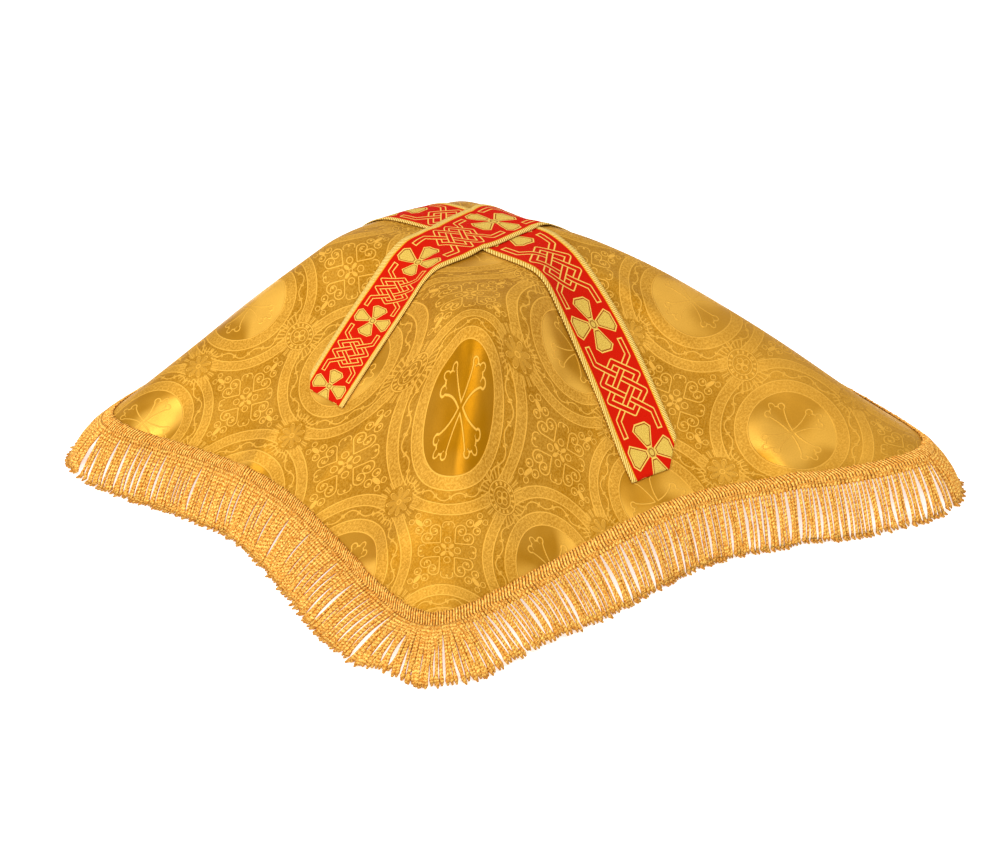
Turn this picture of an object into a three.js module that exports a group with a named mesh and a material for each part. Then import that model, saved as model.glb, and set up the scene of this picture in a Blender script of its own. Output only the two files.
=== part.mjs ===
// A square funeral pall of gold damask, in the shape it takes when draped: a low tent with a flat top.
// Two woven bands cross on top and a corded fringe runs all round the hem.
// Millimetres, +Z up. The long arm of the cross falls on the -Y side.
import * as THREE from "three";

// Cloth
const HALF_SIDE = 305;
const SEAM_LINE = 300;
const CLOTH_THICK = 1.6;
const TOP_HEIGHT = 182;
const SHOULDER_REACH = 20;
const TOP_SQUARENESS = 7;
const CORNER_SQUARENESS = 14;
const FLAT_SHARE_OF_TOP = 0.55;

// Bands
const BAND_HALF_WIDTH = 35;
const BAND_THICK = 1;
const LAYER_GAP = 0.42;
const CROSSING_MARGIN = 3;
const CROSSING_RAMP = 16;
const BAND_CELLS_ACROSS = 6;

// Fringe
const HEADING_GAP = 0.6;
const HEADING_PAST_HEM = 5;
const HEADING_THICK = 2.2;
const STRAND_THICK = 3.2;
const STRAND_DROP_LENGTH = 49;
const TIP_ON_SURFACE = 6;
const TOOTH_SHARE = 0.84;
const TEETH_IN_CORNER_CELL = 3;
const CORNER_FAN_SHARE = 0.1;
const STRAIGHT_SHARE_OF_SIDE = 0.94;
const WAY_PROBE_SHARE = 0.05;

// Mesh density
const CELLS_UNDER_BAND = 3;
const CELLS_BEYOND_BAND = 11;
const CELL_GROWTH = 1.12;
const SHORTEST_CELL = 3;
const PROBE = 3;
const HAIR = 0.01;

// One row for each rib of the drape, every 45 degrees anticlockwise from +X.
// topHalf and hemHalf are half widths in plan, of the top and of the line where the fringe is sewn.
// edgeDrop is how far the top's edge lies below its middle and hemHeight is that line above the surface.
// The turns are degrees, and hollow is how far the slope sags.
const RIB_COLUMNS = ["side", "topHalf", "edgeDrop", "topTurn", "hemHalf", "hemHeight", "hemTurn", "hollow"];
const RIBS = [
  ["right", 53, 5, 6, 240, 40, -8, 0],
  ["far corner", 67, 5.5, 16, 243, 38, 1, 1],
  ["back", 90, 5, 9, 242, 41, 8, 1],
  ["left corner", 91, 3.5, 5.5, 234, 40, 14, -1],
  ["left", 60, 1.5, 3.5, 240, 41, 6, -8],
  ["near corner", 130, 2, 5.5, 251, 24, -3, 2],
  ["front", 70, 2, 8, 259, 45, -7, 0],
  ["right corner", 66, 7.5, 6.5, 278, 42, -15, -2.5],
];

// Soft folds: where each lies on the flat cloth, the way it runs in degrees, its length, width and height.
const FOLDS = [
  { name: "pull beside the long arm", u: 62, v: -128, runs: -62, length: 70, width: 13, height: 3 },
  { name: "roll on the right slope", u: 165, v: -205, runs: -38, length: 150, width: 42, height: 6 },
  { name: "hollow by the right corner", u: 205, v: -150, runs: -42, length: 130, width: 34, height: -4 },
  { name: "swell right of near corner", u: -190, v: -262, runs: -60, length: 70, width: 30, height: 5 },
  { name: "swell left of near corner", u: -275, v: -205, runs: -20, length: 60, width: 26, height: 4 },
  { name: "ripple at the left hem", u: -292, v: 45, runs: 170, length: 55, width: 22, height: 4 },
  { name: "ripple near the left corner", u: -280, v: 190, runs: 155, length: 70, width: 30, height: -3 },
  { name: "ripple at the front hem", u: 135, v: -290, runs: -80, length: 60, width: 24, height: 4 },
  { name: "ripple at the right hem", u: 285, v: 60, runs: 5, length: 80, width: 34, height: 4 },
  { name: "ripple at the back hem", u: -60, v: 285, runs: 95, length: 80, width: 36, height: 4 },
];

const clamp = THREE.MathUtils.clamp;
const lerp = THREE.MathUtils.lerp;
const radians = THREE.MathUtils.degToRad;
const smooth = (x) => {
  const t = clamp(x, 0, 1);
  return t * t * (3 - 2 * t);
};

// Smooth value of one column of the rib table at an angle round the pall
function ribValue(name, angle) {
  const column = RIB_COLUMNS.indexOf(name);
  const count = RIBS.length;
  const place = THREE.MathUtils.euclideanModulo((angle / (2 * Math.PI)) * count, count);
  const row = Math.floor(place) % count;
  const t = place - Math.floor(place);
  const at = (step) => RIBS[(row + step + count) % count][column];
  const [a, b, c, d] = [at(-1), at(0), at(1), at(2)];
  return 0.5 * (2 * b + (c - a) * t + (2 * a - 5 * b + 4 * c - d) * t * t + (3 * b - a - 3 * c + d) * t ** 3);
}

// Height of the soft folds at a point of the flat cloth
function foldHeight(u, v) {
  let height = 0;
  for (const fold of FOLDS) {
    const turn = radians(fold.runs);
    const along = (u - fold.u) * Math.cos(turn) + (v - fold.v) * Math.sin(turn);
    const across = (v - fold.v) * Math.cos(turn) - (u - fold.u) * Math.sin(turn);
    height += fold.height * Math.exp(-((along / fold.length) ** 2) * 2 - (across / fold.width) ** 2 * 2);
  }
  return height;
}

// Place of a flat point (u, v) on the draped middle surface, before the soft folds
function bareDrape(u, v) {
  const angle = Math.atan2(v, u);
  const cos = Math.abs(Math.cos(angle));
  const sin = Math.abs(Math.sin(angle));
  const rounded = (power) => (cos ** power + sin ** power) ** (1 / power);
  const edge = ribValue("topHalf", angle) / rounded(TOP_SQUARENESS);
  const hem = ribValue("hemHalf", angle) / rounded(CORNER_SQUARENESS);
  const drop = ribValue("edgeDrop", angle);
  const edgeHeight = TOP_HEIGHT - drop;
  const hemHeight = ribValue("hemHeight", angle);
  const topLength = Math.hypot(edge, drop);
  const slopeLength = Math.hypot(hem - edge, edgeHeight - hemHeight);
  const share = (Math.hypot(u, v) * Math.max(cos, sin)) / SEAM_LINE;
  const walked = share * (topLength + slopeLength);

  const rib = (distance) => {
    if (distance < topLength) {
      const out = distance / topLength;
      const fall = Math.max(0, (out - FLAT_SHARE_OF_TOP) / (1 - FLAT_SHARE_OF_TOP));
      return [edge * out, TOP_HEIGHT - drop * fall * fall];
    }
    const down = (distance - topLength) / slopeLength;
    return [lerp(edge, hem, down), lerp(edgeHeight, hemHeight, down)];
  };
  let [radius, height] = rib(walked);
  if (Math.abs(walked - topLength) < SHOULDER_REACH) {
    const [insideRadius, insideHeight] = rib(topLength - SHOULDER_REACH);
    const [outsideRadius, outsideHeight] = rib(topLength + SHOULDER_REACH);
    const t = (walked - topLength + SHOULDER_REACH) / (2 * SHOULDER_REACH);
    const bend = (a, b, c) => (1 - t) ** 2 * a + 2 * t * (1 - t) * b + t * t * c;
    radius = bend(insideRadius, edge, outsideRadius);
    height = bend(insideHeight, edgeHeight, outsideHeight);
  }
  const down = clamp((walked - topLength) / slopeLength, 0, 1);
  const sag = ribValue("hollow", angle) * 4 * down * (1 - down);
  radius -= (sag * (edgeHeight - hemHeight)) / slopeLength;
  height -= (sag * (hem - edge)) / slopeLength;
  const turn = lerp(ribValue("topTurn", angle), ribValue("hemTurn", angle), smooth(share));
  const plan = angle + radians(turn);
  return new THREE.Vector3(radius * Math.cos(plan), radius * Math.sin(plan), height);
}

// Outward direction of a surface given as a function of the flat point
function facing(surface, u, v) {
  const inside = HALF_SIDE - PROBE - HAIR;
  const [x, y] = [clamp(u, -inside, inside), clamp(v, -inside, inside)];
  const alongU = surface(x + PROBE, y).sub(surface(x - PROBE, y));
  const alongV = surface(x, y + PROBE).sub(surface(x, y - PROBE));
  return alongU.cross(alongV).normalize();
}

const drape = (u, v) => bareDrape(u, v).addScaledVector(facing(bareDrape, u, v), foldHeight(u, v));
const above = (u, v, distance) => drape(u, v).addScaledVector(facing(drape, u, v), distance);

// Closed solid from triangles listed as corner points
function solid(name, triangles, look) {
  const geometry = new THREE.BufferGeometry().setFromPoints(triangles.flat());
  geometry.computeVertexNormals();
  const mesh = new THREE.Mesh(geometry, new THREE.MeshStandardMaterial(look));
  mesh.name = name;
  return mesh;
}

// Sheet between two offset copies of a grid of flat points, closed along its four edges
function sheet(name, flat, lower, upper, look) {
  const rows = flat.length;
  const columns = flat[0].length;
  const bottom = flat.map((row) => row.map(([u, v]) => above(u, v, lower(u, v))));
  const top = flat.map((row) => row.map(([u, v]) => above(u, v, upper(u, v))));
  const triangles = [];
  const quad = (a, b, c, d) => triangles.push([a, b, c], [a, c, d]);
  for (let i = 0; i + 1 < rows; i++) {
    for (let j = 0; j + 1 < columns; j++) {
      const corners = [[i, j], [i + 1, j], [i + 1, j + 1], [i, j + 1]];
      const [u, v] = flat[i][j];
      const [nextU, nextV] = flat[i + 1][j + 1];
      const splitRuns = (nextU - u) * (nextV - v);
      if (splitRuns * (u + nextU) * (v + nextV) < 0) corners.push(corners.shift());
      const pick = (side) => corners.map(([r, c]) => side[r][c]);
      const [a, b, c, d] = pick(bottom);
      quad(...pick(top));
      quad(a, d, c, b);
    }
  }
  for (let i = 0; i + 1 < rows; i++) {
    quad(bottom[i][0], bottom[i + 1][0], top[i + 1][0], top[i][0]);
    quad(bottom[i + 1][columns - 1], bottom[i][columns - 1], top[i][columns - 1], top[i + 1][columns - 1]);
  }
  for (let j = 0; j + 1 < columns; j++) {
    quad(bottom[0][j + 1], bottom[0][j], top[0][j], top[0][j + 1]);
    quad(bottom[rows - 1][j], bottom[rows - 1][j + 1], top[rows - 1][j + 1], top[rows - 1][j]);
  }
  return solid(name, triangles, look);
}

// Grid lines of the flat cloth: even under the bands, wider apart towards the hem
const halfLines = [];
for (let i = 1; i <= CELLS_UNDER_BAND + CELLS_BEYOND_BAND; i++) {
  const beyond = Math.max(0, i - CELLS_UNDER_BAND) / CELLS_BEYOND_BAND;
  const under = Math.min(i, CELLS_UNDER_BAND) / CELLS_UNDER_BAND;
  halfLines.push(BAND_HALF_WIDTH * under + (HALF_SIDE - BAND_HALF_WIDTH) * beyond ** CELL_GROWTH);
}
const LINES = [...halfLines.map((x) => -x).reverse(), 0, ...halfLines];

// Point above the cloth's own facets, so that what lies on the cloth follows them exactly
function aboveFacet(u, v, distance) {
  const cell = (x) => clamp(LINES.findIndex((line) => line > x) - 1, 0, LINES.length - 2);
  const [i, j] = [cell(Math.min(u, HALF_SIDE - HAIR)), cell(Math.min(v, HALF_SIDE - HAIR))];
  const alongU = (u - LINES[i]) / (LINES[i + 1] - LINES[i]);
  const alongV = (v - LINES[j]) / (LINES[j + 1] - LINES[j]);
  const corner = (stepU, stepV) => above(LINES[i + stepU], LINES[j + stepV], distance);
  const splitRisesWithU = (LINES[i] + LINES[i + 1]) * (LINES[j] + LINES[j + 1]) >= 0;
  const mix = (base, first, a, second, b) => {
    const origin = corner(...base);
    const point = origin.clone();
    point.addScaledVector(corner(...first).sub(origin), a);
    return point.addScaledVector(corner(...second).sub(origin), b);
  };
  if (splitRisesWithU) {
    return alongU >= alongV
      ? mix([1, 0], [0, 0], 1 - alongU, [1, 1], alongV)
      : mix([0, 1], [1, 1], alongU, [0, 0], 1 - alongV);
  }
  return alongU + alongV <= 1
    ? mix([0, 0], [1, 0], alongU, [0, 1], alongV)
    : mix([1, 1], [0, 1], 1 - alongU, [1, 0], 1 - alongV);
}

const pall = new THREE.Group();

// Damask cloth with its turned hem
const clothGrid = LINES.map((u) => LINES.map((v) => [u, v]));
pall.add(
  sheet("damask_cloth", clothGrid, () => -CLOTH_THICK / 2, () => CLOTH_THICK / 2, {
    color: 0xd9a233,
    roughness: 0.45,
    metalness: 0,
  }),
);

// Woven bands. Each end is cut square, and the seen end of each has one corner cut off.
const BANDS = [
  { name: "lower_band", crossesOver: false, from: -274, to: 212, cutCorner: 24, cutSide: 1 },
  { name: "upper_band", crossesOver: true, from: -218, to: 212, cutCorner: 12, cutSide: 1 },
];
const onCloth = CLOTH_THICK / 2 + LAYER_GAP;
for (const band of BANDS) {
  const fullWidthFrom = band.from + band.cutCorner;
  const stops = LINES.filter((x) => x > fullWidthFrom + SHORTEST_CELL && x < band.to - SHORTEST_CELL);
  const places = [band.from, fullWidthFrom, ...stops, band.to];
  const grid = places.map((along) => {
    const cut = clamp(band.cutCorner - (along - band.from), 0, band.cutCorner);
    const row = [];
    for (let i = 0; i <= BAND_CELLS_ACROSS; i++) {
      const even = (2 * i) / BAND_CELLS_ACROSS - 1;
      const across = even * BAND_HALF_WIDTH - (cut * (even + band.cutSide)) / 2;
      row.push(band.crossesOver ? [along, across] : [across, along]);
    }
    return band.crossesOver ? row : row.reverse();
  });
  const lift = (u) => {
    if (!band.crossesOver) return 0;
    const past = Math.abs(u) - BAND_HALF_WIDTH - CROSSING_MARGIN;
    return (BAND_THICK + LAYER_GAP) * (1 - smooth(past / CROSSING_RAMP));
  };
  const look = { color: 0xe11e00, roughness: 0.7, metalness: 0 };
  const lower = (u) => onCloth + lift(u);
  pall.add(sheet(band.name, grid, lower, (u) => lower(u) + BAND_THICK, look));
}

// The four sides of the hem in order, anticlockwise from the near corner along the front
const SIDES = [
  { at: (t, out) => [t * out, -out] },
  { at: (t, out) => [out, t * out] },
  { at: (t, out) => [-t * out, out] },
  { at: (t, out) => [-out, -t * out] },
];

// Way the strands point in plan: square to the hem, fanned out round each corner
function strandWay(sideIndex, t) {
  const normal = (index, place) => {
    const near = clamp(place, -STRAIGHT_SHARE_OF_SIDE, STRAIGHT_SHARE_OF_SIDE);
    const a = bareDrape(...SIDES[index].at(near - WAY_PROBE_SHARE, HALF_SIDE));
    const b = bareDrape(...SIDES[index].at(near + WAY_PROBE_SHARE, HALF_SIDE));
    return new THREE.Vector3(b.y - a.y, a.x - b.x, 0).normalize();
  };
  const way = normal(sideIndex, t);
  const next = (sideIndex + (t < 0 ? 3 : 1)) % 4;
  const corner = normal(sideIndex, Math.sign(t)).add(normal(next, -Math.sign(t))).normalize();
  const share = smooth((Math.abs(t) - 1 + CORNER_FAN_SHARE) / CORNER_FAN_SHARE);
  return way.lerp(corner, share).normalize();
}

// Points of the fringe at one place on the hem: its underside and its upper side, heading to tip
function fringeSection(sideIndex, t) {
  const way = strandWay(sideIndex, t);
  const hem = SIDES[sideIndex].at(t, HALF_SIDE);
  const inner = SIDES[sideIndex].at(t, SEAM_LINE);
  const start = aboveFacet(...inner, CLOTH_THICK / 2 + HEADING_GAP);
  const edge = aboveFacet(...hem, CLOTH_THICK / 2 + HEADING_GAP);
  const up = facing(drape, ...hem);
  const run = Math.sqrt(Math.max(STRAND_DROP_LENGTH ** 2 - edge.z ** 2, 1));
  const landing = edge.clone().addScaledVector(way, run).setZ(0);
  const headingEnd = edge.clone().lerp(landing, HEADING_PAST_HEM / STRAND_DROP_LENGTH);
  const strandUp = new THREE.Vector3(way.x * edge.z, way.y * edge.z, run).normalize();
  const kneeUp = strandUp.clone().add(new THREE.Vector3(0, 0, 1)).normalize();
  const tip = landing.clone().addScaledVector(way, TIP_ON_SURFACE);
  const under = [start, edge, headingEnd, landing, tip];
  const upper = [
    start.clone().addScaledVector(up, HEADING_THICK),
    edge.clone().addScaledVector(up, HEADING_THICK),
    headingEnd.clone().addScaledVector(strandUp, STRAND_THICK),
    landing.clone().addScaledVector(kneeUp, STRAND_THICK),
    tip.clone().setZ(STRAND_THICK),
  ];
  return { under, upper };
}

// Fringe: one closed heading with a comb of flat teeth that stand for the strands,
// one tooth to a cell of the cloth and a few at each corner
const sections = [];
SIDES.forEach((side, index) => {
  sections.push({ ...fringeSection(index, -1), startsTooth: false });
  for (let cell = 0; cell + 1 < LINES.length; cell++) {
    const place = (share) => lerp(LINES[cell], LINES[cell + 1], share) / HALF_SIDE;
    const teeth = cell === 0 || cell + 2 === LINES.length ? TEETH_IN_CORNER_CELL : 1;
    for (let tooth = 0; tooth < teeth; tooth++) {
      const middle = (tooth + 0.5) / teeth;
      const half = TOOTH_SHARE / teeth / 2;
      sections.push({ ...fringeSection(index, place(middle - half)), startsTooth: true });
      sections.push({ ...fringeSection(index, place(middle + half)), startsTooth: false });
    }
  }
});
const HEADING_END = 2;
const TIP = 4;
const fringe = [];
const face = (a, b, c, d) => fringe.push([a, b, c], [a, c, d]);
sections.forEach((here, index) => {
  const next = sections[(index + 1) % sections.length];
  const last = here.startsTooth ? TIP : HEADING_END;
  for (let k = 0; k < last; k++) {
    face(here.upper[k], here.upper[k + 1], next.upper[k + 1], next.upper[k]);
    face(here.under[k + 1], here.under[k], next.under[k], next.under[k + 1]);
  }
  face(here.under[0], here.upper[0], next.upper[0], next.under[0]);
  face(here.upper[last], here.under[last], next.under[last], next.upper[last]);
  if (here.startsTooth) {
    for (let k = HEADING_END; k < TIP; k++) {
      face(here.under[k], here.under[k + 1], here.upper[k + 1], here.upper[k]);
      face(next.under[k + 1], next.under[k], next.upper[k], next.upper[k + 1]);
    }
  }
});
pall.add(solid("fringe", fringe, { color: 0xe0a050, roughness: 0.6, metalness: 0 }));

// The frame's origin is the middle of the footprint, on the surface the pall stands on
const bounds = new THREE.Box3().setFromObject(pall);
const middle = bounds.getCenter(new THREE.Vector3());
for (const mesh of pall.children) mesh.geometry.translate(-middle.x, -middle.y, -bounds.min.z);

export default pall;
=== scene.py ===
import math

import bmesh
import bpy
import numpy as np
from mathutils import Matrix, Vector


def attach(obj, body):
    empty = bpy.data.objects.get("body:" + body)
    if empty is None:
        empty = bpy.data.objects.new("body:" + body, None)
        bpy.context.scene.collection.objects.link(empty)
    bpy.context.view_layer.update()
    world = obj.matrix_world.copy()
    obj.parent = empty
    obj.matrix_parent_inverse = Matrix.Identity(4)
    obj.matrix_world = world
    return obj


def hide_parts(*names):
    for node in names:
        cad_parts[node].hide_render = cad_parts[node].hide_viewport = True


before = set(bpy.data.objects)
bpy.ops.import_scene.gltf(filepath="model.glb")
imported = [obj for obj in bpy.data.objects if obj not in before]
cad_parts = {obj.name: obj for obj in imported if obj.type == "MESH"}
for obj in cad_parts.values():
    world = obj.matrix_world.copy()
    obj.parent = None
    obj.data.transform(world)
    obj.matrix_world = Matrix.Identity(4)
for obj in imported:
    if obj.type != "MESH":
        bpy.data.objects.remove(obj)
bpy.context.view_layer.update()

# The pall cloth: a 61 cm square of gold church damask with a turned hem, laid over and let fall.
# It is made as one fine square sheet, moved to where each point of the flat cloth comes to lie,
# with the same ribs and soft folds as its solid and a few more small creases of its own.
MM = 0.001
HALF_SIDE = 305
SEAM_LINE = 300
CLOTH_THICK = 1.6
TOP_HEIGHT = 182
SHOULDER_REACH = 20
TOP_SQUARENESS = 7
CORNER_SQUARENESS = 14
FLAT_SHARE_OF_TOP = 0.55
PALL_MIDDLE = (-13.5237, -36.2591, 0)
CLOTH_CELLS = 170

# One row for each rib of the drape, every 45 degrees anticlockwise from +X
RIB_COLUMNS = (
    "top_half",
    "edge_drop",
    "top_turn",
    "hem_half",
    "hem_height",
    "hem_turn",
    "hollow",
    "weave_turn",
)
RIBS = np.array(
    [
        (53, 5, 6, 240, 40, -8, 0, -8),  # right
        (67, 5.5, 16, 243, 38, 1, 1, 0),  # far corner
        (90, 5, 9, 242, 41, 8, 1, 8),  # back
        (91, 3.5, 5.5, 234, 40, 14, -1, 20),  # left corner
        (60, 1.5, 3.5, 240, 41, 6, -8, 9),  # left
        (130, 2, 5.5, 251, 24, -3, 2, -4),  # near corner
        (70, 2, 8, 259, 45, -7, 0, -5),  # front
        (66, 7.5, 6.5, 278, 42, -15, -2.5, -18),  # right corner
    ]
)

# Soft folds: u, v, the way it runs in degrees, length, width, height
FOLDS = (
    (62, -128, -62, 70, 13, 3),  # pull beside the long arm
    (165, -205, -38, 150, 42, 6),  # roll on the right slope
    (205, -150, -42, 130, 34, -4),  # hollow by the right corner
    (-190, -262, -60, 70, 30, 5),  # swell right of the near corner
    (-275, -205, -20, 60, 26, 4),  # swell left of the near corner
    (-292, 45, 170, 55, 22, 4),  # ripple at the left hem
    (-280, 190, 155, 70, 30, -3),  # ripple near the left corner
    (135, -290, -80, 60, 24, 4),  # ripple at the front hem
    (285, 60, 5, 80, 34, 4),  # ripple at the right hem
    (-60, 285, 95, 80, 36, 4),  # ripple at the back hem
)
CREASES = (
    (-150, -125, 50, 75, 11, -2.4),  # dent left of the near ridge
    (-122, -165, 48, 80, 11, -2.2),  # dent right of the near ridge
    (-225, 70, 20, 60, 12, 1.2),  # soft wrinkle on the left slope
    (-238, -70, -15, 55, 11, 1.1),  # soft wrinkle above the left hem
    (-40, -215, 75, 60, 12, 1.1),  # soft wrinkle above the front hem
    (110, -95, -48, 80, 9, 1.3),  # pull towards the right corner
    (150, 150, 45, 80, 14, 1.3),  # crease to the far corner
    (-150, 190, 128, 80, 14, 1.3),  # crease to the left corner
)


def smooth(x):
    x = np.clip(x, 0, 1)
    return x * x * (3 - 2 * x)


def rib_value(name, angle):
    column = RIBS[:, RIB_COLUMNS.index(name)]
    place = np.mod(angle / (2 * math.pi) * len(RIBS), len(RIBS))
    row = np.floor(place).astype(int)
    t = place - row
    a, b, c, d = (column[(row + step) % len(RIBS)] for step in (-1, 0, 1, 2))
    return 0.5 * (2 * b + (c - a) * t + (2 * a - 5 * b + 4 * c - d) * t**2 + (3 * b - a - 3 * c + d) * t**3)


def rib_sizes(u, v):
    """The rib through each flat point: its direction, the share of it walked, and the rib's own sizes."""
    angle = np.arctan2(v, u)
    cos, sin = np.abs(np.cos(angle)), np.abs(np.sin(angle))

    def rounded(power):
        return (cos**power + sin**power) ** (1 / power)

    edge = rib_value("top_half", angle) / rounded(TOP_SQUARENESS)
    hem = rib_value("hem_half", angle) / rounded(CORNER_SQUARENESS)
    drop = rib_value("edge_drop", angle)
    fall = TOP_HEIGHT - drop - rib_value("hem_height", angle)
    top_length = np.hypot(edge, drop)
    slope_length = np.hypot(hem - edge, fall)
    share = np.hypot(u, v) * np.maximum(cos, sin) / SEAM_LINE
    return angle, share, edge, hem, drop, top_length, slope_length


def bare_drape(u, v):
    """Where a point (u, v) of the flat cloth lies once draped, before the soft folds."""
    angle, share, edge, hem, drop, top_length, slope_length = rib_sizes(u, v)
    edge_height = TOP_HEIGHT - drop
    hem_height = rib_value("hem_height", angle)
    walked = share * (top_length + slope_length)

    def rib(distance):
        out = distance / top_length
        fall = np.maximum(0, (out - FLAT_SHARE_OF_TOP) / (1 - FLAT_SHARE_OF_TOP))
        down = (distance - top_length) / slope_length
        on_top = distance < top_length
        radius = np.where(on_top, edge * out, edge + (hem - edge) * down)
        slope_height = edge_height + (hem_height - edge_height) * down
        return radius, np.where(on_top, TOP_HEIGHT - drop * fall**2, slope_height)

    radius, height = rib(walked)
    inside, outside = rib(top_length - SHOULDER_REACH), rib(top_length + SHOULDER_REACH)
    t = np.clip((walked - top_length + SHOULDER_REACH) / (2 * SHOULDER_REACH), 0, 1)
    shoulder = np.abs(walked - top_length) < SHOULDER_REACH

    def bend(a, b, c):
        return (1 - t) ** 2 * a + 2 * t * (1 - t) * b + t * t * c

    radius = np.where(shoulder, bend(inside[0], edge, outside[0]), radius)
    height = np.where(shoulder, bend(inside[1], edge_height, outside[1]), height)
    down = np.clip((walked - top_length) / slope_length, 0, 1)
    sag = rib_value("hollow", angle) * 4 * down * (1 - down)
    radius = radius - sag * (edge_height - hem_height) / slope_length
    height = height - sag * (hem - edge) / slope_length
    turn = smooth(share)
    plan = angle + np.radians(rib_value("top_turn", angle) * (1 - turn) + rib_value("hem_turn", angle) * turn)
    return np.stack([radius * np.cos(plan), radius * np.sin(plan), height], -1)


def unit(vectors):
    return vectors / np.linalg.norm(vectors, axis=-1, keepdims=True)


def facing(surface, u, v, probe=3):
    """Outward direction of a draped surface at flat points."""
    x, y = (np.clip(w, -HALF_SIDE + probe, HALF_SIDE - probe) for w in (u, v))
    along_u = surface(x + probe, y) - surface(x - probe, y)
    along_v = surface(x, y + probe) - surface(x, y - probe)
    return unit(np.cross(along_u, along_v))


def drape(u, v):
    lift = 0
    for fold_u, fold_v, runs, length, width, height in FOLDS + CREASES:
        turn = math.radians(runs)
        along = (u - fold_u) * math.cos(turn) + (v - fold_v) * math.sin(turn)
        across = (v - fold_v) * math.cos(turn) - (u - fold_u) * math.sin(turn)
        lift = lift + height * np.exp(-2 * (along / length) ** 2 - 2 * (across / width) ** 2)
    return bare_drape(u, v) + facing(bare_drape, u, v) * lift[..., None]


def above_cloth(u, v, distance):
    """Points a distance above the middle of the draped cloth, in millimetres, in the pall's own frame."""
    return drape(u, v) + facing(drape, u, v) * np.asarray(distance)[..., None] - np.array(PALL_MIDDLE)


def settle(mesh, points):
    """Moves every vertex of a mesh to its place, given in millimetres, and shades it smooth."""
    mesh.vertices.foreach_set("co", (points * MM).astype(np.float32).ravel())
    mesh.polygons.foreach_set("use_smooth", [True] * len(mesh.polygons))
    mesh.update()


def flat_grid(name, cells_x, cells_y, place):
    """A sheet of cells. place turns its points, -1 to 1 each way, into flat millimetres and the UV map's."""
    bm = bmesh.new()
    bm.loops.layers.uv.new("flat")
    bmesh.ops.create_grid(bm, x_segments=cells_x, y_segments=cells_y, size=1, calc_uvs=True)
    mesh = bpy.data.meshes.new(name)
    bm.to_mesh(mesh)
    bm.free()
    points = np.zeros(len(mesh.vertices) * 3, np.float32)
    mesh.vertices.foreach_get("co", points)
    points = points.reshape(-1, 3).astype(float)
    flat = place(points[:, 0], points[:, 1])
    corner_vertex = np.zeros(len(mesh.loops), int)
    mesh.loops.foreach_get("vertex_index", corner_vertex)
    mesh.uv_layers.active.data.foreach_set("uv", (flat[2][corner_vertex] * MM).astype(np.float32).ravel())
    made = bpy.data.objects.new(name, mesh)
    bpy.context.scene.collection.objects.link(made)
    return made, flat[0], flat[1]


def thicken(piece, thickness):
    wall = piece.modifiers.new("thickness", "SOLIDIFY")
    wall.thickness = thickness * MM
    wall.offset = 0
    wall.use_even_offset = False


# Over the near corner the weave is drawn long and narrow, round one medallion
RIDGE_FIGURE = (222.0, 239)  # its direction in degrees, and its distance from the middle
RIDGE_REACH = (92, 52)  # down the slope, and to the side
RIDGE_LONGER = 0.5
RIDGE_NARROWER = 0.4


def weave_place(u, v):
    """Where a point of the cloth falls in the weave's pattern, which eases round the ribs."""
    angle, share, _, _, _, top_length, slope_length = rib_sizes(u, v)
    out = share * (top_length + slope_length)
    angle = angle + np.radians(rib_value("weave_turn", angle)) * share
    down = out - RIDGE_FIGURE[1]
    aside = np.angle(np.exp(1j * (angle - math.radians(RIDGE_FIGURE[0])))) * RIDGE_FIGURE[1]
    near = np.exp(-((down / RIDGE_REACH[0]) ** 2) - (aside / RIDGE_REACH[1]) ** 2)
    out = out - down * RIDGE_LONGER * near
    angle = angle + aside * RIDGE_NARROWER * near / RIDGE_FIGURE[1]
    return np.stack([out * np.cos(angle), out * np.sin(angle)], -1)


def cloth_place(x, y):
    u, v = x * HALF_SIDE, y * HALF_SIDE
    return u, v, weave_place(u, v)


cloth, cloth_u, cloth_v = flat_grid("pall_cloth", CLOTH_CELLS, CLOTH_CELLS, cloth_place)
settle(cloth.data, above_cloth(cloth_u, cloth_v, cloth_u * 0))
thicken(cloth, CLOTH_THICK)


class Shade:
    """A number, colour or direction in a material. Python's operators on numbers add Math nodes."""

    def __init__(self, look, socket):
        self.look, self.socket = look, socket

    def __add__(self, other):
        return self.look.math("ADD", self, other)

    def __sub__(self, other):
        return self.look.math("SUBTRACT", self, other)

    def __rsub__(self, other):
        return self.look.math("SUBTRACT", other, self)

    def __mul__(self, other):
        return self.look.math("MULTIPLY", self, other)

    def __truediv__(self, other):
        return self.look.math("DIVIDE", self, other)

    def __abs__(self):
        return self.look.math("ABSOLUTE", self)

    __radd__ = __add__


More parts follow.
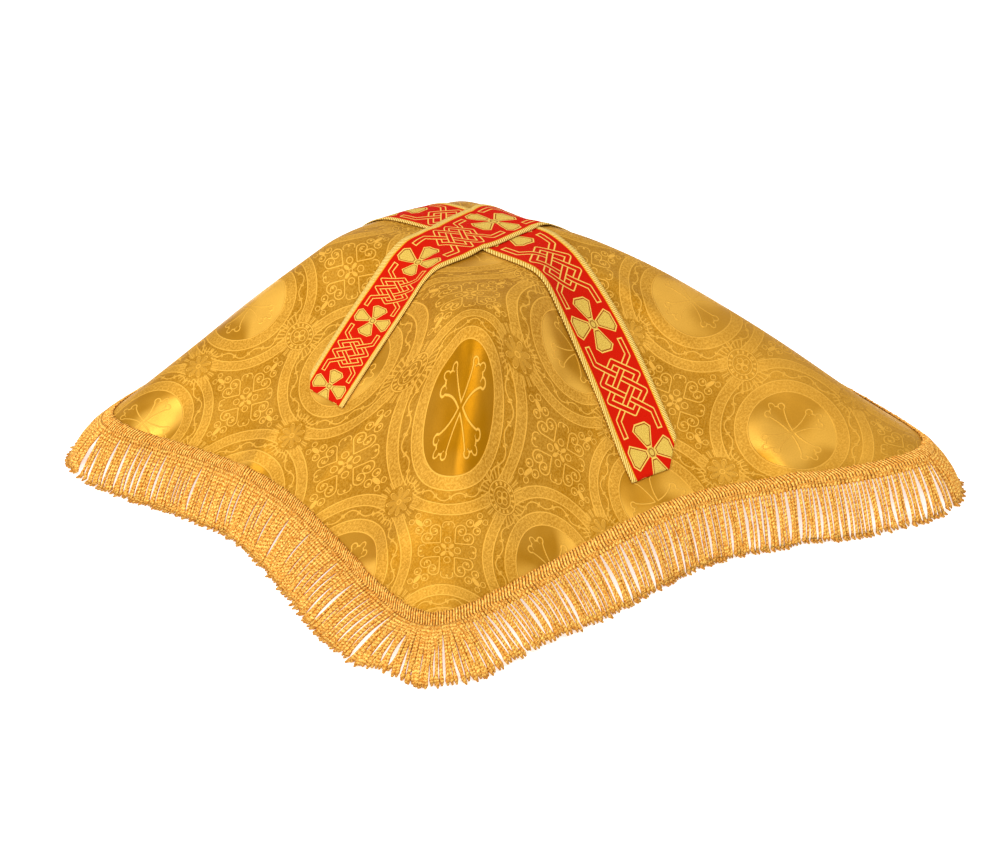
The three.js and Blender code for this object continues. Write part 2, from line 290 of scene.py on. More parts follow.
class Look:
    """A material with one Principled shader, and the few kinds of node that the cloths and cords need."""

    def __init__(self, name, **finish):
        self.material = bpy.data.materials.new(name)
        self.material.use_nodes = True
        self.tree = self.material.node_tree
        self.shader = self.tree.nodes["Principled BSDF"]
        for socket, value in finish.items():
            self.shader.inputs[socket.replace("_", " ")].default_value = value

    def node(self, kind, settings, inputs, output=0):
        made = self.tree.nodes.new(kind)
        for name, value in settings.items():
            setattr(made, name, value)
        for key, value in inputs.items():
            if isinstance(value, Shade):
                self.tree.links.new(value.socket, made.inputs[key])
            else:
                made.inputs[key].default_value = value
        return Shade(self, made.outputs[output])

    def math(self, operation, *values):
        return self.node("ShaderNodeMath", {"operation": operation}, dict(enumerate(values)))

    def least(self, first, *others):
        for other in others:
            first = self.math("MINIMUM", first, other)
        return first

    def most(self, first, *others):
        for other in others:
            first = self.math("MAXIMUM", first, other)
        return first

    def rise(self, value, low, high):
        """0 where value is at low, 1 where it is at high, smooth between."""
        settings = {"interpolation_type": "SMOOTHSTEP"}
        return self.node("ShaderNodeMapRange", settings, {0: value, 1: low, 2: high})

    def line(self, distance, width):
        """1 along a line of that width where distance is 0."""
        return self.rise(abs(distance), width * 0.75, width * 0.25)

    def far(self, x, y):
        return self.math("SQRT", x * x + y * y)

    def blend(self, share, first, second):
        """From colour first to colour second as share goes from 0 to 1."""
        return self.node("ShaderNodeMix", {"data_type": "RGBA"}, {0: share, 6: first, 7: second}, 2)

    def flat(self):
        """The two flat coordinates of the cloth, in millimetres."""
        uv = self.node("ShaderNodeUVMap", {}, {})
        parts = self.node("ShaderNodeSeparateXYZ", {}, {0: uv})
        return parts * (1 / MM), Shade(self, parts.socket.node.outputs[1]) * (1 / MM), uv

    def noise(self, vector, scale, detail=2.0, roughness=0.5):
        inputs = {"Vector": vector, "Scale": scale, "Detail": detail, "Roughness": roughness}
        return self.node("ShaderNodeTexNoise", {}, inputs)

    def finish(self, colour, roughness=None, height=None, depth=0.0):
        links = {"Base Color": colour, "Roughness": roughness}
        if height is not None:
            inputs = {"Height": height, "Distance": depth * MM, "Strength": 1.0}
            links["Normal"] = self.node("ShaderNodeBump", {}, inputs)
        for socket, value in links.items():
            if value is not None:
                self.tree.links.new(value.socket, self.shader.inputs[socket])
        return self.material


def tint(red, green, blue):
    """A colour as seen, from 0 to 255, turned into the light that Blender reckons in."""
    shares = [c / 255 for c in (red, green, blue)]
    return tuple(((c + 0.055) / 1.055) ** 2.4 if c > 0.04 else c / 12.92 for c in shares) + (1.0,)


# The damask weave, sized in shares of its 136 mm repeat: round medallions with a flared cross, in double
# straps that meet at beaded rings and daisies, and curled hearts round a small flower between them.
# The figure is light satin on a darker ground.
REPEAT = 136
REPEAT_FROM = (-178, -160)
WRINKLE_HEIGHT = 15
WEAVE_DEPTH = 0.22

damask = Look("gold_damask", Metallic=0.42, Specular_IOR_Level=0.12, Specular_Tint=(1.0, 0.72, 0.3, 1.0))
flat_u, flat_v, flat_uv = damask.flat()
x = damask.math("WRAP", (flat_u - REPEAT_FROM[0]) / REPEAT, 0.5, -0.5)
y = damask.math("WRAP", (flat_v - REPEAT_FROM[1]) / REPEAT, 0.5, -0.5)
x, y = abs(x), abs(y)
medallion = damask.far(x, y)
pile = damask.noise(flat_uv, 900.0, 2.0)
crumb = damask.noise(flat_uv, 520.0, 3.0, 0.75)
wrinkle_sheen_clouds = damask.noise(flat_uv, 26.0, 2.0)


def dot(px, py, middle_x, middle_y, radius, flat=1.0):
    """Distance outside a small round or oval figure, which a flat over 1 makes narrower across."""
    return damask.far(px - middle_x, (py - middle_y) * flat) - radius


def solid(distance):
    return damask.rise(distance, 0.0015, -0.0025)


# Straps round each medallion, with a leaf scroll running between the inner and the outer one
INNER_STRAP, OUTER_STRAP = (0.262, 0.335), (0.415, 0.478)
SCROLL_MIDDLE = 0.375


def strap(from_radius, to_radius):
    return damask.rise(damask.least(medallion - from_radius, to_radius - medallion), -0.002, 0.002)


inner_strap, outer_strap = strap(*INNER_STRAP), strap(*OUTER_STRAP)
strap_edges = damask.most(*(damask.line(medallion - radius, 0.008) for radius in INNER_STRAP + OUTER_STRAP))
turn = damask.math("ARCTAN2", y, x)
wave = damask.math("SINE", turn * 12)
scroll_line = damask.line(medallion - SCROLL_MIDDLE - wave * 0.02, 0.009)
leaf_turn = damask.math("WRAP", turn * (12 / math.pi), 0.5, -0.5)
leaf = damask.far(leaf_turn * 0.13, medallion - SCROLL_MIDDLE + wave * 0.014) - 0.015
vein = damask.line(leaf_turn * 0.13, 0.005)
scroll = damask.most(scroll_line, solid(leaf) * (1 - vein * 0.6))
in_scroll_band = damask.rise(damask.least(medallion - 0.339, 0.411 - medallion), 0.0, 0.004)

# Rings where medallions meet one way, daisies where they meet the other way, both in short rays
to_ring_x, to_ring_y = x, 0.5 - y
to_daisy_x, to_daisy_y = 0.5 - x, y
ring = damask.far(to_ring_x, to_ring_y * 0.9)
daisy = damask.far(to_daisy_x, to_daisy_y)
link = damask.least(ring, daisy)
ring_turn = damask.math("ARCTAN2", to_ring_y, to_ring_x)
daisy_turn = damask.math("ARCTAN2", to_daisy_y, to_daisy_x)
beads = damask.rise(damask.math("SINE", ring_turn * 16), -0.2, 0.5)
beads = beads * damask.rise(damask.least(ring - 0.064, 0.084 - ring), -0.001, 0.002)
ring_lines = damask.most(damask.line(ring - 0.09, 0.007), damask.line(ring - 0.058, 0.006))
ring_long, ring_short = damask.most(to_ring_x, to_ring_y), damask.least(to_ring_x, to_ring_y)
quatrefoil = damask.far(ring_long - 0.027, ring_short) - 0.0175
quatrefoil_line = damask.most(damask.line(quatrefoil, 0.006), solid(ring - 0.009))
petal_reach = 0.028 + abs(damask.math("COSINE", daisy_turn * 4)) * 0.056
daisy_line = damask.most(damask.line(daisy - petal_reach, 0.008), damask.line(daisy - 0.014, 0.007))
daisy_fill = damask.rise(petal_reach - daisy, 0.004, 0.012)
rays = damask.math("SINE", damask.least(ring_turn, 9.0) * 34) * damask.rise(daisy - ring, 0.0, 0.001)
rays = rays + damask.math("SINE", daisy_turn * 34) * damask.rise(ring - daisy, 0.0, 0.001)
rays = damask.rise(rays, 0.1, 0.6) * damask.rise(damask.least(link - 0.098, 0.15 - link), -0.002, 0.004)
rays = rays * (1 - inner_strap)
in_link = damask.rise(0.094 - link, -0.002, 0.002)

# Flared cross with a trefoil at each end, in outline in the open field of the medallion
arm, side = damask.most(x, y), damask.least(x, y)
bar = damask.least(0.012 + (arm * arm) * 1.9 - side, 0.16 - arm)
trefoil = damask.most(
    0.024 - damask.far(arm - 0.196, side * 1.4),
    0.02 - damask.far(arm - 0.168, side - 0.05),
    0.03 - damask.far(arm - 0.16, side * 0.8),
)
cross = damask.most(bar, trefoil)
cross_line = damask.line(cross, 0.0085)

# Curled hearts round a small flower in the space between four medallions
gap_x, gap_y = 0.5 - x, 0.5 - y
long_way, short_way = damask.most(gap_x, gap_y), damask.least(gap_x, gap_y)
lobe_x, lobe_y = long_way - 0.152, short_way - 0.036
lobe_open = damask.rise(damask.most(lobe_x + 0.006, lobe_y - 0.018), -0.002, 0.002)
heart = damask.line(damask.far(lobe_x, lobe_y) - 0.034, 0.008) * lobe_open
HEART_POINT, HEART_SIDE = (0.068, 0.002), (0.06, 0.058)
off_point = long_way - HEART_POINT[0], short_way - HEART_POINT[1]
side_share = off_point[0] * HEART_SIDE[0] + off_point[1] * HEART_SIDE[1]
side_share = damask.least(damask.most(side_share / (HEART_SIDE[0] ** 2 + HEART_SIDE[1] ** 2), 0.0), 1.0)
side_off = damask.far(off_point[0] - side_share * HEART_SIDE[0], off_point[1] - side_share * HEART_SIDE[1])
heart = damask.most(heart, damask.line(side_off, 0.008))
curl = damask.line(damask.far(lobe_x + 0.003, lobe_y + 0.013) - 0.0205, 0.007)
curl = curl * damask.rise(lobe_x - lobe_y, 0.03, 0.024)
heart = damask.most(heart, curl, solid(dot(long_way, short_way, 0.146, 0.032, 0.0085)))
flower = damask.most(
    solid(dot(long_way, short_way, 0.036, 0.0, 0.022, 1.7)) * 0.9,
    damask.line(damask.far(gap_x, gap_y) - 0.012, 0.006),
    damask.line(dot(gap_x, gap_y, 0.046, 0.046, 0.02), 0.007),
)
bud_husk = damask.line(dot(long_way, short_way, 0.122, 0.104, 0.026), 0.007)
bud = damask.most(
    bud_husk * damask.rise(long_way + short_way, 0.2, 0.208),
    solid(dot(long_way, short_way, 0.12, 0.12, 0.009)),
    solid(dot(gap_x, gap_y, 0.172, 0.172, 0.017)),
)
frond = damask.most(
    solid(dot(long_way, short_way, 0.262, 0.0, 0.034, 2.4)),
    damask.line(dot(long_way, short_way, 0.225, 0.032, 0.022), 0.007),
    solid(dot(long_way, short_way, 0.232, 0.034, 0.009)),
    damask.line(dot(long_way, short_way, 0.3, 0.026, 0.016), 0.006),
)
in_gap = damask.rise(medallion, 0.482, 0.488)
gap_figure = damask.most(heart, flower, bud, frond) * in_gap

open_ground = 1 - in_link
figure_fill = damask.most(inner_strap, outer_strap) * open_ground
figure_line = damask.most(strap_edges * open_ground, cross_line, gap_figure * open_ground, rays * 0.8)
figure_line = damask.most(figure_line, ring_lines, beads, quatrefoil_line, daisy_line, daisy_fill * 0.5)
figure_line = damask.most(figure_line, in_scroll_band * scroll * open_ground * 0.9)
satin_field = damask.rise(0.258 - medallion, -0.002, 0.002)
raised = damask.most(figure_fill * 0.6, figure_line)
speckle = damask.rise(crumb, 0.4, 0.62)
tone = figure_fill * (0.26 + speckle * 0.38) + (1 - figure_fill) * (1 - satin_field) * (0.1 + speckle * 0.22)
# Painted shade and painted sheen on the satin fields: dark round the medallion on the near ridge, elsewhere
# lit in soft noise patches
ridge_u, ridge_v = (step(math.radians(RIDGE_FIGURE[0])) * RIDGE_FIGURE[1] for step in (math.cos, math.sin))
outside_ridge_painted_shade = damask.rise(damask.far(flat_u - ridge_u, flat_v - ridge_v), 50.0, 90.0)
sheen = damask.rise(damask.noise(flat_uv, 17.0, 1.0, 0.4), 0.44, 0.6)
painted_satin_sheen = outside_ridge_painted_shade * (0.14 + sheen * 0.62) + 0.03
tone = damask.most(tone, satin_field * painted_satin_sheen, figure_line * 0.8)
# Painted sheen and shade: broad lighter and darker patches over the cloth, as from soft wrinkles
tone = tone + (damask.rise(wrinkle_sheen_clouds, 0.3, 0.7) - 0.5) * 0.16
# Painted light: on the right face the figure is faded towards an even mid tone, as the satin looks under
# glancing light
glancing_light_fade = damask.rise(flat_u, 30.0, 130.0) * damask.rise(flat_v, 60.0, 0.0) * 0.45
tone = damask.least(tone * (1 - glancing_light_fade) + glancing_light_fade * 0.46, 1.0)
threads = damask.math("SINE", flat_u * 9.0) * damask.math("SINE", flat_v * 9.0)
tone = damask.blend(tone, tint(150, 98, 2), tint(228, 174, 72))
tone = damask.blend(damask.rise(pile, 0.35, 0.75) * 0.14, tone, tint(132, 82, 0))
damask_rough = 0.34 + raised * 0.2 + (1 - satin_field) * 0.08
wrinkles = damask.noise(flat_uv, 15.0, 2.0, 0.45)
damask_height = raised + (1 - satin_field) * speckle * 0.35 + threads * 0.06 + wrinkles * WRINKLE_HEIGHT
cloth.data.materials.append(damask.finish(tone, damask_rough, damask_height, WEAVE_DEPTH))
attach(cloth, "root")
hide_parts("damask_cloth")

# The two woven bands of the cross: 70 mm galloon, red ground with pale gold knots and flowers and
# a twill edge each side. They are sewn flat on the cloth, the shorter one over the longer one,
# and the seen end of each has a corner turned under.
BAND_HALF = 35
BAND_THICK = 1.0
BAND_CELLS = (150, 28)
LAYER_GAP = 0.42
CROSSING_MARGIN = 3
CROSSING_RAMP = 16
EDGE_WIDTH = 5.6
EDGE_BEAD = 0.35
EDGE_BEAD_RAMP = 1.5
TWILL_PITCH = 2.6
BAND_REPEAT = 116
# Flower centres of the lower band along v, and of the upper band along u, where the weave is closer
LOWER_FLOWERS = (-373, -257, -141, -25, 91, 207, 323)
UPPER_FLOWERS = (-274, -208, -141.5, -77, 16, 104, 170, 236)


def woven_band(name, crosses_over, start, end, cut_corner, flowers):
    def place(x, y):
        along = start + (x + 1) / 2 * (end - start)
        cut = np.clip(cut_corner - (along - start), 0, cut_corner)
        across = y * BAND_HALF - cut * (y + 1) / 2
        repeats = np.interp(along, flowers, np.arange(len(flowers)))
        weave = np.stack([repeats * BAND_REPEAT, across], -1)
        return (along, across, weave) if crosses_over else (across, along, weave)

    band, u, v = flat_grid(name, *BAND_CELLS, place)
    if not crosses_over:
        band.data.flip_normals()
    across = v if crosses_over else u
    along = u if crosses_over else v
    over = BAND_THICK + LAYER_GAP - 0.1
    lift = over * (1 - smooth((np.abs(along) - BAND_HALF - CROSSING_MARGIN) / CROSSING_RAMP)) * crosses_over
    bead = EDGE_BEAD * smooth((np.abs(across) - BAND_HALF + EDGE_WIDTH) / EDGE_BEAD_RAMP)
    middle = CLOTH_THICK / 2 + LAYER_GAP + BAND_THICK / 2
    settle(band.data, above_cloth(u, v, middle + lift + bead))
    thicken(band, BAND_THICK)
    return band


lower_band = woven_band("lower_woven_band", False, -274, 212, 24, LOWER_FLOWERS)
upper_band = woven_band("upper_woven_band", True, -218, 212, 12, UPPER_FLOWERS)

galloon = Look("woven_band", Specular_IOR_Level=0.04)
along, across, band_uv = galloon.flat()
CORD_WIDTH = 6.0
LINE = 1.15
along = galloon.math("WRAP", along, BAND_REPEAT / 2, -BAND_REPEAT / 2)
off_edge = BAND_HALF - abs(across)
s, t = abs(along), abs(across)
knot_along = galloon.math("WRAP", along + BAND_REPEAT / 2, BAND_REPEAT / 2, -BAND_REPEAT / 2)
knot_out = abs(knot_along)


def stretch(px, py, start, end):
    """Distance from a straight stretch of the knot's cord."""
    run, climb = end[0] - start[0], end[1] - start[1]
    share = ((px - start[0]) * run + (py - start[1]) * climb) / (run * run + climb * climb)
    share = galloon.least(galloon.most(share, 0.0), 1.0)
    return galloon.far(px - start[0] - share * run, py - start[1] - share * climb)


# The knot: two cords plaited on the slant, with square corners, whose tails run out along the band
KNOT_END, KNOT_SIDE, KNOT_ELBOW, TAIL_END = (23, 0), (7.5, 22.5), (25, 21), (41, 21)
slant = (
    ((-KNOT_END[0], 0), (-KNOT_SIDE[0], -KNOT_SIDE[1])),
    ((-KNOT_ELBOW[0], KNOT_ELBOW[1]), (KNOT_SIDE[0], -KNOT_SIDE[1])),
    ((-KNOT_SIDE[0], KNOT_SIDE[1]), (KNOT_ELBOW[0], -KNOT_ELBOW[1])),
    (KNOT_SIDE, KNOT_END),
)
one_way = galloon.least(*(stretch(knot_along, across, *place) for place in slant))
other_way = galloon.least(*(stretch(knot_along, across * -1, *place) for place in slant))
tails = galloon.most(stretch(knot_out, t, KNOT_ELBOW, TAIL_END), knot_out - TAIL_END[0] + CORD_WIDTH / 2)
all_ways = galloon.least(one_way, other_way, tails)


def cord_edge(distance):
    return galloon.rise(abs(distance - CORD_WIDTH / 2 + LINE / 2), LINE * 0.75, LINE * 0.3)


to_end, to_side, to_elbow = (galloon.far(knot_out - u, t - v) for u, v in (KNOT_END, KNOT_SIDE, KNOT_ELBOW))
corner = galloon.rise(galloon.least(to_end, to_side), 5.2, 5.6) * galloon.rise(to_elbow, 4.4, 4.8)


def inside_cord(distance):
    return galloon.rise(distance, CORD_WIDTH / 2, CORD_WIDTH / 2 - 0.4)


other_on_top = galloon.rise(t, 5.2, 4.8) * galloon.rise(knot_out, 17.0, 16.6)
over_one = cord_edge(one_way) * inside_cord(other_way) * (1 - other_on_top)
over_other = cord_edge(other_way) * inside_cord(one_way) * other_on_top
knot = galloon.most(cord_edge(all_ways), galloon.most(over_one, over_other) * corner)

# The flower: four petals, each a gold rim, a thin dark line and a speckled face, round a small ring
petal_long, petal_side = galloon.most(s, t), galloon.least(s, t)
PETAL_REACH, PETAL_FOOT, PETAL_CUT = 26.0, 4.4, 32.5
petal_shoulder = (PETAL_CUT - petal_long - petal_side) * 0.7
petal = galloon.least(0.9 + petal_long * 0.5 - petal_side, PETAL_REACH - petal_long, petal_shoulder)
petal = galloon.least(petal, petal_long - PETAL_FOOT)
petal_rim = galloon.rise(petal, -0.1, 0.25) * galloon.rise(petal, 1.5, 1.2)
petal_fill = galloon.rise(petal, 2.1, 2.4)
petal_gap = galloon.rise(petal, 0.0, 0.3) * (1 - petal_rim) * (1 - petal_fill)
eye = galloon.far(s, t * 1.1)
eye_ring = galloon.rise(eye, 5.4, 5.0)
petal_gap = galloon.most(petal_gap * galloon.rise(eye, 5.2, 5.6), galloon.line(eye - 3.2, 1.1))
gold_figure = galloon.least(galloon.most(knot, petal_rim, petal_fill, eye_ring), 1.0)
twill = galloon.math("SINE", (along + abs(across)) * (2 * math.pi / TWILL_PITCH))
in_edge = galloon.rise(EDGE_WIDTH - off_edge, -0.15, 0.15)
edge_cord = galloon.line(off_edge - EDGE_WIDTH, 1.2)
picks = galloon.math("SINE", along * 7.5) * galloon.math("SINE", across * 7.5)
fleck = galloon.noise(band_uv, 1500.0, 2.0, 0.7)
red = galloon.blend(galloon.rise(fleck, 0.3, 0.75) * 0.35, tint(184, 20, 0), tint(158, 11, 0))
gold = galloon.blend(galloon.rise(fleck, 0.38, 0.62) * 0.8, tint(214, 182, 84), tint(150, 110, 28))
rim_gold = galloon.most(knot, petal_rim)
gold = galloon.blend(rim_gold * 0.75, gold, tint(222, 180, 82))
band_colour = galloon.blend(gold_figure, red, gold)
band_colour = galloon.blend(petal_gap * 0.9, band_colour, tint(122, 62, 8))
twill_colour = galloon.blend(galloon.rise(twill, -0.3, 0.6), tint(168, 126, 42), tint(232, 200, 114))
band_colour = galloon.blend(in_edge, band_colour, twill_colour)
band_colour = galloon.blend(edge_cord * 0.9, band_colour, tint(206, 150, 30))
band_rough = 0.75 - gold_figure * 0.2 - in_edge * 0.15
band_height = gold_figure * 0.8 + in_edge * (0.7 + twill * 0.3) + picks * 0.12
band_look = galloon.finish(band_colour, band_rough, band_height, 0.2)
for band, node in ((lower_band, "lower_band"), (upper_band, "upper_band")):
    band.data.materials.append(band_look)
    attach(band, "root")
    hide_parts(node)

# The fringe's heading: tight upright loops of gold cord, stitched along the edge of the cloth on
# its upper side. One closed strip goes round all four sides, with a ridge for each loop.
LOOP_PITCH = 3.5
COLUMNS_A_LOOP = 6
STRAND_FALL = 49
TIP_ON_SURFACE = 6
# u and v of a step along each side, then of a step out from it
SIDES = ((1, 0, 0, -1), (0, 1, 1, 0), (-1, 0, 0, 1), (0, -1, -1, 0))
CORNER_FAN = 0.1
HEADING_GAP = 0.25
LOOP_SLANT = 0.1
SLIP = (1.2, 0.17, 6.0)  # place round the hem, spread, by how much
STRAND_BOW = 1.6


def along_hem(place, out):
    """Flat point at a place round the hem: 0 to 4 sides anticlockwise from the near corner, so far out."""
    side = np.floor(place).astype(int) % 4
    t = 2 * (place - np.floor(place)) - 1
    step = np.array(SIDES, float)[side]
    return step[:, 0] * t * out + step[:, 2] * out, step[:, 1] * t * out + step[:, 3] * out, side, t


def strand_way(place):
    """The way in plan that a strand points: square to the hem, fanned round each corner."""

    def square(side, t):
        near = np.clip(t, -0.94, 0.94)
        ends = [bare_drape(*along_hem(side + (near + step + 1) / 2, HALF_SIDE)[:2]) for step in (-0.05, 0.05)]
        run = ends[1] - ends[0]
        return unit(np.stack([run[:, 1], -run[:, 0], run[:, 0] * 0], -1))

    side = np.floor(place) % 4
    t = 2 * (place - np.floor(place)) - 1
    way, sign = square(side, t), np.where(t < 0, -1.0, 1.0)
    corner = unit(square(side, sign) + square((side + sign) % 4, -sign))
    share = smooth((np.abs(t) - 1 + CORNER_FAN) / CORNER_FAN)[:, None]
    return unit(way * (1 - share) + corner * share)


def slip(place):
    """The heading is sewn on lower behind the right corner."""
    middle, spread, by = SLIP
    return np.exp(-(((place - middle) / spread) ** 2)) * by


def strand_line(place, distance, height):
    """Points a distance past the hem on the strands' sheet and a height above it. Its end lies flat."""
    u, v, _, _ = along_hem(place, HALF_SIDE)
    start = above_cloth(u, v, np.full(len(u), CLOTH_THICK / 2 + HEADING_GAP))
    way = strand_way(place)
    run = np.sqrt(np.maximum(STRAND_FALL**2 - start[:, 2] ** 2, 1))
    slope = np.stack([way[:, 0] * run, way[:, 1] * run, -start[:, 2]], -1) / STRAND_FALL
    up = np.stack([way[:, 0] * start[:, 2], way[:, 1] * start[:, 2], run], -1) / STRAND_FALL
    fallen = np.minimum(distance, STRAND_FALL)[:, None]
    beyond = np.maximum(distance - STRAND_FALL, 0)[:, None]
    bow = np.sin(np.clip(distance / STRAND_FALL, 0, 1) * math.pi)[:, None] * STRAND_BOW
    knee = smooth((distance - STRAND_FALL + 6) / 9)[:, None]
    rise = unit(up * (1 - knee) + np.array([0, 0, 1.0]) * knee)
    return start + slope * fallen + way * beyond + rise * (np.asarray(height)[:, None] + bow)


HEADING_SECTION = (  # past the hem, height above the sheet
    (-6.6, 0.1),
    (-6.8, 1.1),
    (-4.4, 1.9),
    (-0.6, 2.0),
    (3.4, 2.0),
    (6.3, 1.2),
    (6.4, 0.1),
    (0.0, 0.0),
)
loops = round(4 * 2 * HALF_SIDE / LOOP_PITCH)
columns = loops * COLUMNS_A_LOOP
rows = len(HEADING_SECTION)
bm = bmesh.new()
bm.loops.layers.uv.new("flat")
bmesh.ops.create_grid(bm, x_segments=columns, y_segments=rows, size=0.5, calc_uvs=True)
heading_mesh = bpy.data.meshes.new("fringe_heading")
bm.to_mesh(heading_mesh)
bm.free()
points = np.zeros(len(heading_mesh.vertices) * 3, np.float32)
heading_mesh.vertices.foreach_get("co", points)
points = points.reshape(-1, 3).astype(float) + 0.5
column = np.round(points[:, 0] * columns) % columns
row = np.round(points[:, 1] * rows).astype(int) % rows
section = np.array(HEADING_SECTION)[row]
rng = np.random.default_rng(7)
loop_reach = rng.uniform(-1.1, 0.2, loops)
loop_height = rng.uniform(-0.15, 0.25, loops)
loop = (column // COLUMNS_A_LOOP).astype(int)
crest = np.sin((column % COLUMNS_A_LOOP + 0.5) / COLUMNS_A_LOOP * math.pi)
upper = (row >= 1) & (row <= 5)
past = section[:, 0] + slip(column / columns * 4) + np.where(row <= 2, loop_reach[loop] * crest, 0)
height = section[:, 1] + np.where(upper, crest * (1.0 + loop_height[loop]) - 0.8, 0)
slant = past * LOOP_SLANT / (2 * HALF_SIDE)
place = np.mod(column / columns * 4 + slant, 4)
inside_u, inside_v, _, _ = along_hem(place, HALF_SIDE + np.minimum(past, 0))
on_cloth = above_cloth(inside_u, inside_v, CLOTH_THICK / 2 + HEADING_GAP + height)
on_fall = strand_line(place, np.maximum(past, 0), height)
settle(heading_mesh, np.where(past[:, None] <= 0, on_cloth, on_fall))
bm = bmesh.new()
bm.from_mesh(heading_mesh)
bmesh.ops.remove_doubles(bm, verts=bm.verts, dist=0.01 * MM)
bmesh.ops.recalc_face_normals(bm, faces=bm.faces)
bm.to_mesh(heading_mesh)
bm.free()
heading = bpy.data.objects.new("fringe_heading", heading_mesh)
bpy.context.scene.collection.objects.link(heading)

loops_look = Look("gold_loops", Metallic=0.15, Specular_IOR_Level=0.1)
heading_uv = loops_look.node("ShaderNodeUVMap", {}, {})
split = loops_look.node("ShaderNodeSeparateXYZ", {}, {0: heading_uv})
loop_wave = loops_look.math("SINE", (split * loops + 0.5 / COLUMNS_A_LOOP) * math.pi)
groove = loops_look.rise(abs(loop_wave), 0.75, 0.35)
object_place = loops_look.node("ShaderNodeTexCoord", {}, {}, 3)
loop_noise = loops_look.noise(object_place, 700.0, 2.0)
loop_mix = loops_look.rise(loop_noise, 0.35, 0.65)
loop_colour = loops_look.blend(loop_mix, tint(248, 194, 96), tint(206, 132, 42))
# Painted shade: the grooves between the loops are darkened, in broken patches
broken_groove_shade = loops_look.rise(loops_look.noise(object_place, 420.0, 2.0), 0.36, 0.52) * 0.45 + 0.4
loop_colour = loops_look.blend(groove * broken_groove_shade, loop_colour, tint(104, 54, 6))
heading.data.materials.append(loops_look.finish(loop_colour, 0.5 + groove * 0.2, 1 - groove, 0.3))
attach(heading, "root")

# The fringe's strands: hundreds of doubled and twisted gold cords, each ending in a small loop.
# They hang from the heading in loose groups with slits between, and the tips lie on the surface.
STRAND_PITCH = 4.0
EXTRA_AT_CORNER = (30, 15, 12, 13)
CROWD_STEP = 0.0042
STRAND_RADIUS = 1.27
# Where the strands are tucked up: place round the hem, spread, by how much
SHORTER = ((3.966, 0.02, 8), (0.16, 0.09, 8))
STRAND_START = 2.0
STRAND_LEAN, STRAND_WANDER = 0.0017, 0.0015
# The small loop at the end of each: its middle and length in shares of the strand, and its swelling
LOOP_AT, LOOP_LENGTH, LOOP_SWELL = 0.92, 0.07, 0.5
STRAND_SIDES = 5
STRAND_RINGS = 11
strands = np.arange(round(4 * 2 * HALF_SIDE / STRAND_PITCH)) * STRAND_PITCH / (2 * HALF_SIDE)
for corner_place, extra in enumerate(EXTRA_AT_CORNER):
    strands = np.append(strands, corner_place + (np.arange(extra) - (extra - 1) / 2) * CROWD_STEP)
strands = np.sort(np.mod(strands, 4))
count = len(strands)
rng = np.random.default_rng(11)
bunch_sizes = rng.choice((1, 1, 2, 2, 3), count)
bunch = np.repeat(np.arange(count), bunch_sizes)[:count]
bunch_middle = np.array([strands[bunch == b].mean() for b in bunch])
pull = rng.uniform(0.15, 0.45, count)

bm = bmesh.new()
bm.loops.layers.uv.new("flat")
bmesh.ops.create_grid(bm, x_segments=STRAND_SIDES, y_segments=STRAND_RINGS, size=0.5, calc_uvs=True)
for vertex in bm.verts:
    around, rise_to = 2 * math.pi * vertex.co.x, vertex.co.y + 0.5
    vertex.co = (math.cos(around), math.sin(around), rise_to)
bmesh.ops.remove_doubles(bm, verts=bm.verts, dist=1e-4)
bmesh.ops.holes_fill(bm, edges=bm.edges, sides=STRAND_SIDES)
bmesh.ops.recalc_face_normals(bm, faces=bm.faces)
one_strand = bpy.data.meshes.new("one_strand")
bm.to_mesh(one_strand)
bm.free()
bm = bmesh.new()
for _ in range(count):
    bm.from_mesh(one_strand)
strand_mesh = bpy.data.meshes.new("fringe_strands")
bm.to_mesh(strand_mesh)
bm.free()
unit_points = np.zeros(len(one_strand.vertices) * 3, np.float32)
one_strand.vertices.foreach_get("co", unit_points)
unit_points = unit_points.reshape(-1, 3).astype(float)
bpy.data.meshes.remove(one_strand)

along_strand = np.tile(unit_points[:, 2], count)
which = np.repeat(np.arange(count), len(unit_points))
short = sum(np.exp(-(((strands - middle) / spread) ** 2)) * by for middle, spread, by in SHORTER)
reach = (STRAND_FALL + TIP_ON_SURFACE + rng.uniform(-4.0, 0.5, count) - short)[which]
begin = STRAND_START + slip(strands)[which]
distance = begin + along_strand * (reach - begin)
lean = (bunch_middle - strands) * pull + rng.normal(0, STRAND_LEAN, count)
wander = rng.uniform(-1, 1, count)[which] * np.sin(along_strand * math.pi * 1.3) * STRAND_WANDER
gathered = smooth(along_strand * 1.7) * (1 - 0.7 * smooth(along_strand * 2.4 - 1.4))
place = strands[which] + lean[which] * gathered + wander
loop_end = 1 + LOOP_SWELL * np.exp(-(((along_strand - LOOP_AT) / LOOP_LENGTH) ** 2))
closing = np.where(along_strand > 0.995, 0.55, 1)
radius = STRAND_RADIUS * rng.uniform(0.88, 1.08, count)[which] * loop_end * closing
layer = (rng.uniform(0, 1.8, count)[which]) * np.sin(along_strand * math.pi)
height = STRAND_RADIUS + 0.5 + layer
centre = strand_line(np.mod(place, 4), distance, height)
ahead = strand_line(np.mod(place, 4), distance + 0.5, height) - centre
tangent = unit(ahead)
way = strand_way(np.mod(place, 4))
sideways = unit(np.stack([-way[:, 1], way[:, 0], way[:, 0] * 0], -1))
upward = unit(np.cross(tangent, -sideways))
ring_points = np.tile(unit_points[:, :2], (count, 1))
offset = sideways * ring_points[:, :1] + upward * ring_points[:, 1:]
settle(strand_mesh, centre + offset * radius[:, None])
strand_piece = bpy.data.objects.new("fringe_strands", strand_mesh)
bpy.context.scene.collection.objects.link(strand_piece)

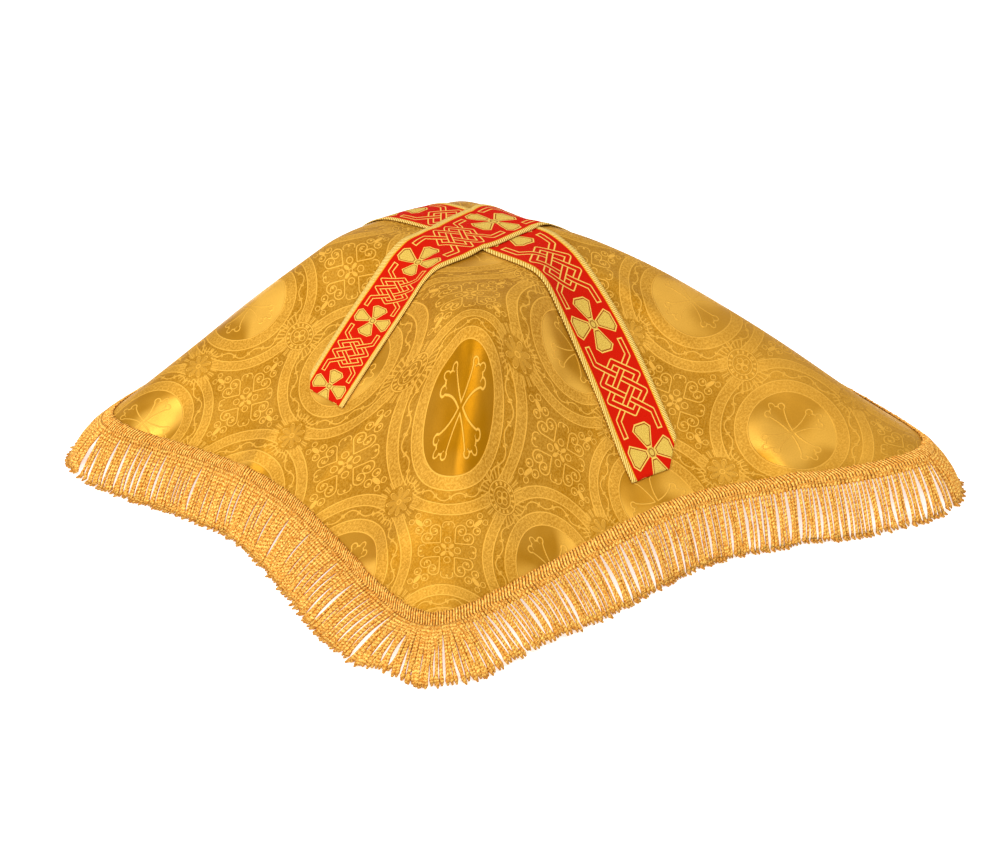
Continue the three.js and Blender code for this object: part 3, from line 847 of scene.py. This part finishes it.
PLIES, PLY_TURNS = 2, 17
cord = Look("gold_cord", Roughness=0.6, Specular_IOR_Level=0.1)
cord_uv = cord.node("ShaderNodeUVMap", {}, {})
cord_around = cord.node("ShaderNodeSeparateXYZ", {}, {0: cord_uv})
cord_along = Shade(cord, cord_around.socket.node.outputs[1])
ply_wave = cord.math("SINE", (cord_around * PLIES + cord_along * PLY_TURNS) * (2 * math.pi))
cord_place = cord.node("ShaderNodeTexCoord", {}, {}, 3)
cord_noise = cord.noise(cord_place, 480.0, 3.0, 0.75)
# Painted shade: the grooves between the two plies are darkened
ply_groove_shade = cord.rise(ply_wave, -0.2, -0.95)
cord_colour = cord.blend(cord.rise(cord_noise, 0.4, 0.62), tint(250, 206, 104), tint(220, 146, 50))
cord_dots = cord.noise(cord_place, 900.0, 2.0, 0.6)
cord_colour = cord.blend(cord.rise(cord_dots, 0.53, 0.62) * 0.85, cord_colour, tint(168, 88, 14))
cord_colour = cord.blend(ply_groove_shade * 0.65, cord_colour, tint(176, 100, 22))
tip = cord.rise(cord_along, 0.86, 0.99)
cord_colour = cord.blend(tip * 0.45, cord_colour, tint(150, 84, 18))
strand_piece.data.materials.append(cord.finish(cord_colour, None, ply_wave, 0.3))
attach(strand_piece, "root")
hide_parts("fringe")

# The setting: a plain pale floor, soft light from above and from the left, and a camera with a long
# lens, a little above the pall, off its near corner.
FLOOR_HALF = 6
bm = bmesh.new()
bmesh.ops.create_grid(bm, x_segments=2, y_segments=2, size=FLOOR_HALF)
floor_mesh = bpy.data.meshes.new("floor")
bm.to_mesh(floor_mesh)
bm.free()
floor = bpy.data.objects.new("floor", floor_mesh)
bpy.context.scene.collection.objects.link(floor)
PALE = (0.9, 0.9, 0.9, 1)
GLOW = 0.6
paper = Look("pale_floor", Base_Color=PALE, Roughness=0.95, Specular_IOR_Level=0.0, Emission_Strength=GLOW)
floor.data.materials.append(paper.material)

world = bpy.data.worlds.new("soft_room")
bpy.context.scene.world = world
world.use_nodes = True
world.node_tree.nodes["Background"].inputs["Color"].default_value = (1, 1, 1, 1)
world.node_tree.nodes["Background"].inputs["Strength"].default_value = 0.85


def soft_light(name, place, target, size, power):
    lamp = bpy.data.lights.new(name, "AREA")
    lamp.shape, lamp.size, lamp.energy = "DISK", size, power
    made = bpy.data.objects.new(name, lamp)
    made.location = place
    made.rotation_euler = (Vector(target) - Vector(place)).to_track_quat("-Z", "Y").to_euler()
    bpy.context.scene.collection.objects.link(made)


soft_light("window_left", (-2.2, 0.2, 1.6), (0, 0, 0.1), 1.3, 40)
soft_light("ceiling", (-0.3, -0.95, 2.15), (0, 0, 0.1), 0.8, 22)

CAMERA_PLACE = (-0.92624, -1.02731, 0.74821)
CAMERA_LOOKS = (0.592385, 0.656122, -0.467530)
CAMERA_LENS = 66.0
camera_data = bpy.data.cameras.new("camera")
camera_data.lens = CAMERA_LENS
camera_data.sensor_width = 36
camera = bpy.data.objects.new("camera", camera_data)
camera.location = CAMERA_PLACE
camera.rotation_euler = Vector(CAMERA_LOOKS).to_track_quat("-Z", "Y").to_euler()
bpy.context.scene.collection.objects.link(camera)
bpy.context.scene.camera = camera
bpy.context.scene.view_settings.view_transform = "Standard"
